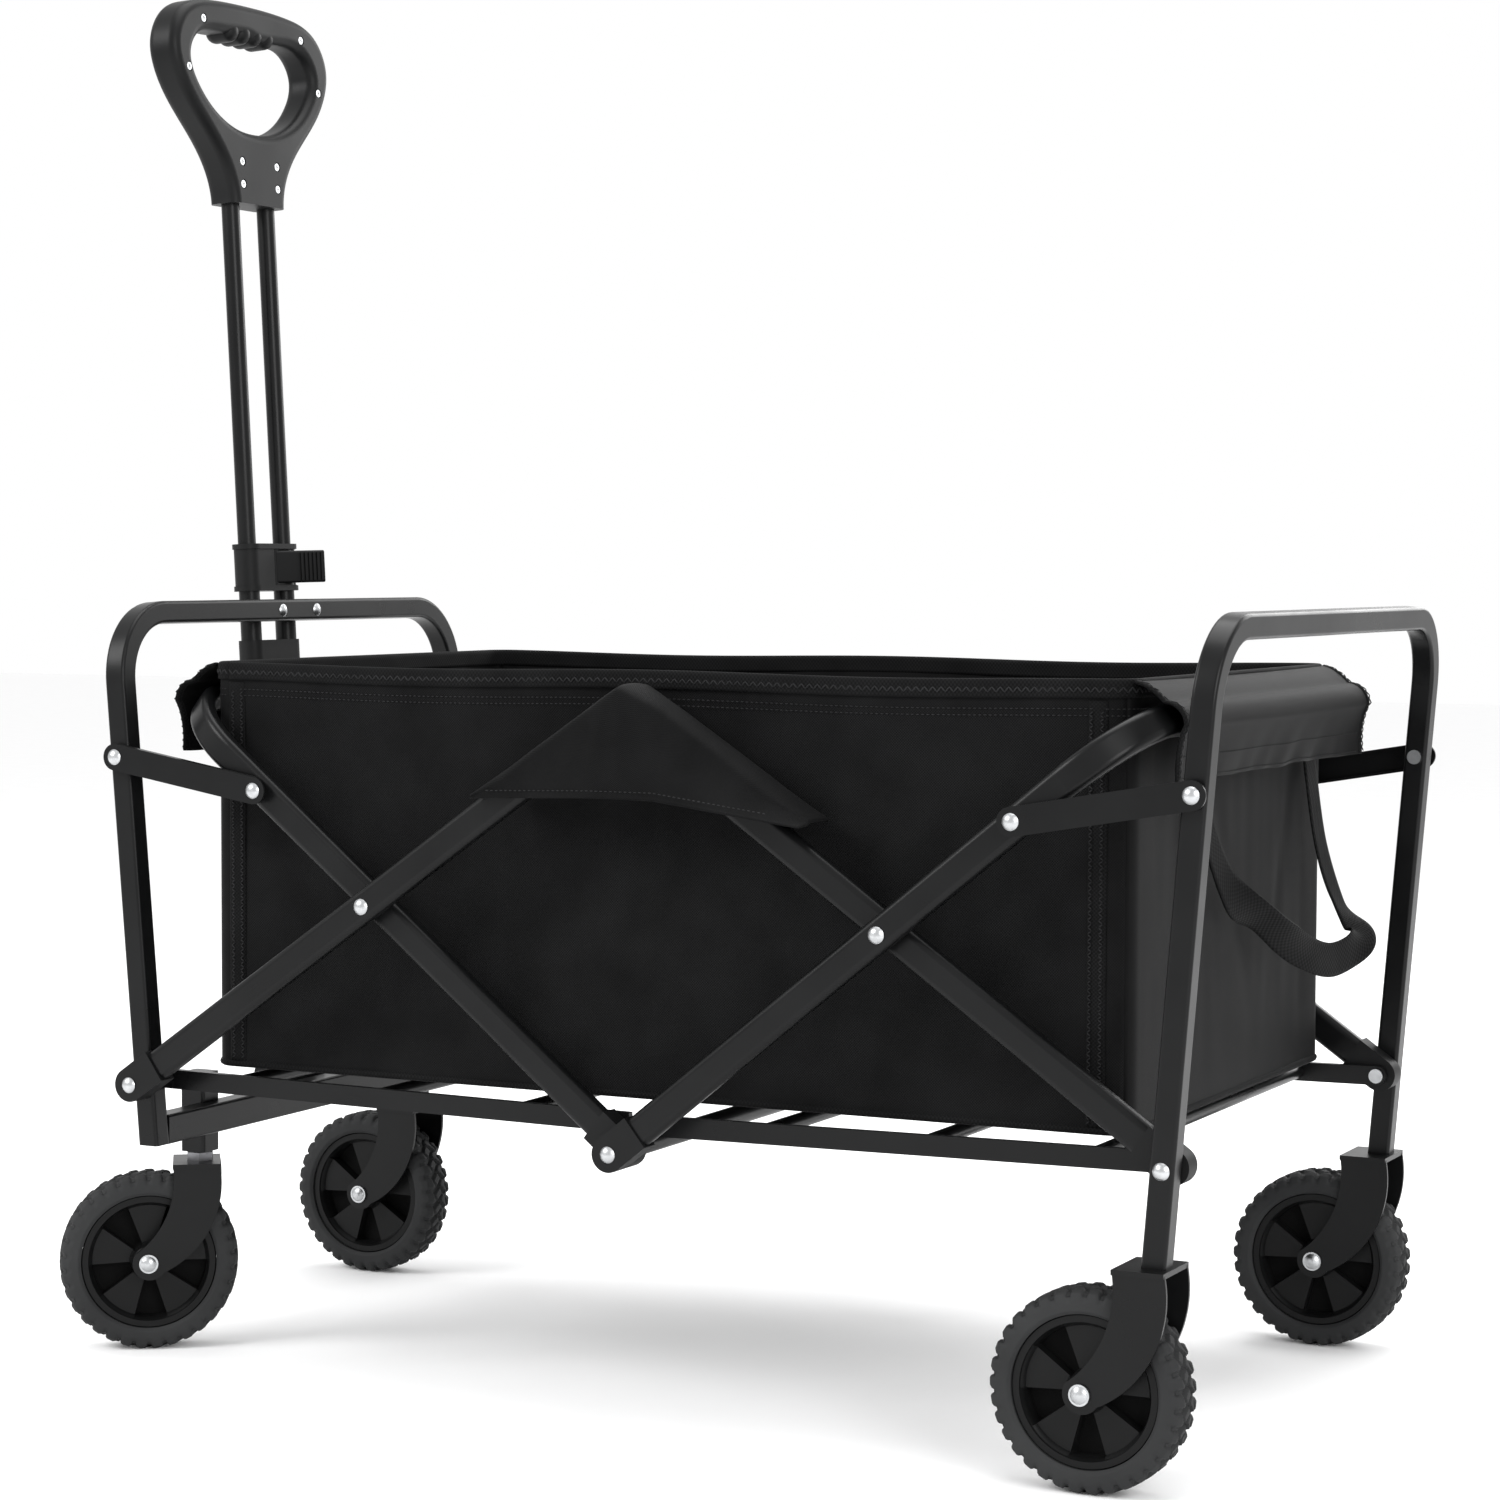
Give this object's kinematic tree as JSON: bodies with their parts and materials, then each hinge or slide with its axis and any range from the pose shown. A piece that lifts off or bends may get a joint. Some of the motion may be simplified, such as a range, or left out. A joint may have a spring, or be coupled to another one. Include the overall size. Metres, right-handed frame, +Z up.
{
  "type": "folding wagon with pull handle",
  "caption": "Folding utility wagon: steel scissor frame, hanging fabric basket, swivel front casters, fixed rear wheels and a telescoping pull handle with a D-shaped grip.",
  "frame": {"origin": "on the ground, under the middle of the overall length and width", "axes": "+Z up; -X is the front, with the handle; +Y is the wagon's right-hand side"},
  "size_m": [1.0727, 0.6134, 1.167],
  "materials": {
    "black_steel": "satin powder coat",
    "zinc": "bright zinc",
    "dark_zinc": "dark zinc",
    "black_plastic": "fine moulded texture",
    "grip_plastic": "fine moulded texture",
    "wheel_plastic": "moulded",
    "tyre": "matt",
    "side_fabric": "woven",
    "end_fabric": "smooth woven",
    "webbing": "ribbed webbing"
  },
  "bodies": {
    "rear_frame": {"rear_frame_tube": "black_steel", "rear_pivot_bolts": "zinc", "rear_fork_left": "black_steel", "rear_fork_right": "black_steel", "rear_axles": "zinc"},
    "rear_arms": {"rear_arm_left": "black_steel", "rear_arm_right": "black_steel", "rear_arm_caps": "black_plastic", "rear_arm_rivets": "zinc"},
    "front_arms": {"front_arm_left": "black_steel", "front_arm_right": "black_steel", "front_arm_caps": "black_plastic", "front_arm_rivets": "zinc"},
    "rear_loop": {"rear_loop_tube": "black_steel", "rear_loop_caps": "black_plastic", "bottom_cross_tube": "black_steel", "bottom_pivot_screws": "zinc"},
    "front_loop": {"front_loop_tube": "black_steel", "front_loop_caps": "black_plastic"},
    "front_frame": {"front_frame_tube": "black_steel", "front_cross_member": "black_steel", "caster_sockets": "black_steel", "handle_bracket": "black_steel", "handle_clip": "black_plastic", "front_frame_rivets": "zinc", "handle_pivot_bolt": "zinc"},
    "rear_links": {"rear_links": "black_steel", "rear_link_rivets": "zinc"},
    "front_links": {"front_links": "black_steel", "front_link_rivets": "zinc"},
    "rear_floor": {"rear_floor_frame": "black_steel"},
    "front_floor": {"front_floor_frame": "black_steel"},
    "basket": {"basket": "side_fabric", "top_flaps": "side_fabric", "rear_strap": "webbing"},
    "rear_sleeve": {"rear_sleeve": "end_fabric"},
    "front_sleeve": {"front_sleeve": "end_fabric"},
    "handle": {"handle_foot": "black_plastic", "handle_outer_tubes": "black_steel", "handle_collar": "black_plastic", "handle_lock": "black_plastic"},
    "handle_upper": {"handle_inner_tubes": "black_steel", "grip_front_shell": "grip_plastic", "grip_back_shell": "grip_plastic", "grip_screws": "zinc"},
    "lock_lever": {"lock_lever": "black_plastic"},
    "caster_left": {"caster_fork_left": "black_steel", "caster_stem_left": "dark_zinc", "caster_axle_left": "zinc"},
    "front_wheel_left": {"front_tyre_left": "tyre", "front_hub_left": "wheel_plastic"},
    "rear_wheel_left": {"rear_tyre_left": "tyre", "rear_hub_left": "wheel_plastic"},
    "caster_right": {"caster_fork_right": "black_steel", "caster_stem_right": "dark_zinc", "caster_axle_right": "zinc"},
    "front_wheel_right": {"front_tyre_right": "tyre", "front_hub_right": "wheel_plastic"},
    "rear_wheel_right": {"rear_tyre_right": "tyre", "rear_hub_right": "wheel_plastic"}
  },
  "joints": [
    {"name": "fold", "type": "hinge", "parent": "rear_frame", "child": "rear_arms", "pos_m": [0.495, 0, 0.24], "axis": [0, 1, 0], "range_deg": [0, 48.12]},
    {"name": "top_pivot", "type": "hinge", "parent": "rear_arms", "child": "front_arms", "pos_m": [0.045, 0, 0.556], "axis": [0, 1, 0], "range_deg": [-85.87, 0]},
    {"name": "rear_cross", "type": "hinge", "parent": "rear_arms", "child": "rear_loop", "pos_m": [0.27, 0, 0.398], "axis": [0, 1, 0], "range_deg": [-82.71, 0]},
    {"name": "front_cross", "type": "hinge", "parent": "front_arms", "child": "front_loop", "pos_m": [-0.18, 0, 0.398], "axis": [0, 1, 0], "range_deg": [0, 82.71]},
    {"name": "front_foot_pivot", "type": "hinge", "parent": "front_arms", "child": "front_frame", "pos_m": [-0.405, 0, 0.24], "axis": [0, 1, 0], "range_deg": [0, 48.15]},
    {"name": "rear_link_pivot", "type": "hinge", "parent": "rear_frame", "child": "rear_links", "pos_m": [0.517, 0, 0.51], "axis": [0, 1, 0], "range_deg": [0, 93.91]},
    {"name": "front_link_pivot", "type": "hinge", "parent": "front_frame", "child": "front_links", "pos_m": [-0.427, 0, 0.51], "axis": [0, 1, 0], "range_deg": [-93.91, 0]},
    {"name": "rear_floor_hinge", "type": "hinge", "parent": "rear_frame", "child": "rear_floor", "pos_m": [0.495, 0, 0.24], "axis": [0, 1, 0], "range_deg": [0, 81.35]},
    {"name": "front_floor_hinge", "type": "hinge", "parent": "front_frame", "child": "front_floor", "pos_m": [-0.405, 0, 0.24], "axis": [0, 1, 0], "range_deg": [-81.35, 0]},
    {"name": "basket_hang", "type": "hinge", "parent": "rear_arms", "child": "basket", "pos_m": [0.045, 0, 0.556], "axis": [0, 1, 0], "range_deg": [-42.94, 0], "deforming": ["basket", "top_flaps", "rear_strap"]},
    {"name": "rear_sleeve_turn", "type": "hinge", "parent": "rear_loop", "child": "rear_sleeve", "pos_m": [0.469, 0, 0.55808], "axis": [0, 1, 0], "range_deg": [0, 39.79], "deforming": ["rear_sleeve"]},
    {"name": "front_sleeve_turn", "type": "hinge", "parent": "front_loop", "child": "front_sleeve", "pos_m": [-0.379, 0, 0.55808], "axis": [0, 1, 0], "range_deg": [-39.79, 0], "deforming": ["front_sleeve"]},
    {"name": "caster_swivel_left", "type": "hinge", "parent": "front_frame", "child": "caster_left", "pos_m": [-0.417, -0.172, 0.12], "axis": [0, 0, 1], "continuous": true},
    {"name": "front_wheel_left_spin", "type": "hinge", "parent": "caster_left", "child": "front_wheel_left", "pos_m": [-0.45263, -0.19695, 0.0755], "axis": [-0.5736, 0.8192, 0], "continuous": true},
    {"name": "caster_swivel_right", "type": "hinge", "parent": "front_frame", "child": "caster_right", "pos_m": [-0.417, 0.172, 0.12], "axis": [0, 0, 1], "continuous": true},
    {"name": "front_wheel_right_spin", "type": "hinge", "parent": "caster_right", "child": "front_wheel_right", "pos_m": [-0.4605, 0.172, 0.0755], "axis": [0, 1, 0], "continuous": true},
    {"name": "rear_wheel_left_spin", "type": "hinge", "parent": "rear_frame", "child": "rear_wheel_left", "pos_m": [0.439, -0.276, 0.0755], "axis": [0, 1, 0], "continuous": true},
    {"name": "rear_wheel_right_spin", "type": "hinge", "parent": "rear_frame", "child": "rear_wheel_right", "pos_m": [0.439, 0.276, 0.0755], "axis": [0, 1, 0], "continuous": true},
    {"name": "handle_swing", "type": "hinge", "parent": "front_frame", "child": "handle", "pos_m": [-0.439, 0, 0.2], "axis": [0, 1, 0], "range_deg": [-70, 0]},
    {"name": "handle_slide", "type": "slide", "parent": "handle", "child": "handle_upper", "axis": [-0.0541, 0, 0.9985], "range_m": [-0.29, 0]},
    {"name": "lock_lever_turn", "type": "hinge", "parent": "handle", "child": "lock_lever", "pos_m": [-0.45467, 0.001, 0.66684], "axis": [-0.0541, 0, 0.9985], "range_deg": [-50, 0]}
  ],
  "couplings": [
    {"joint": "top_pivot", "follows": "fold", "ratio": -1.7838},
    {"joint": "rear_cross", "follows": "fold", "ratio": -1.7183},
    {"joint": "front_cross", "follows": "fold", "ratio": 1.7183},
    {"joint": "front_foot_pivot", "follows": "fold", "ratio": 1},
    {"joint": "rear_link_pivot", "follows": "fold", "ratio": 1.9509},
    {"joint": "front_link_pivot", "follows": "fold", "ratio": -1.9509},
    {"joint": "rear_floor_hinge", "follows": "fold", "ratio": 1.6899},
    {"joint": "front_floor_hinge", "follows": "fold", "ratio": -1.6899},
    {"joint": "basket_hang", "follows": "fold", "ratio": -0.89191},
    {"joint": "rear_sleeve_turn", "follows": "fold", "ratio": 0.82635},
    {"joint": "front_sleeve_turn", "follows": "fold", "ratio": -0.82635}
  ]
}
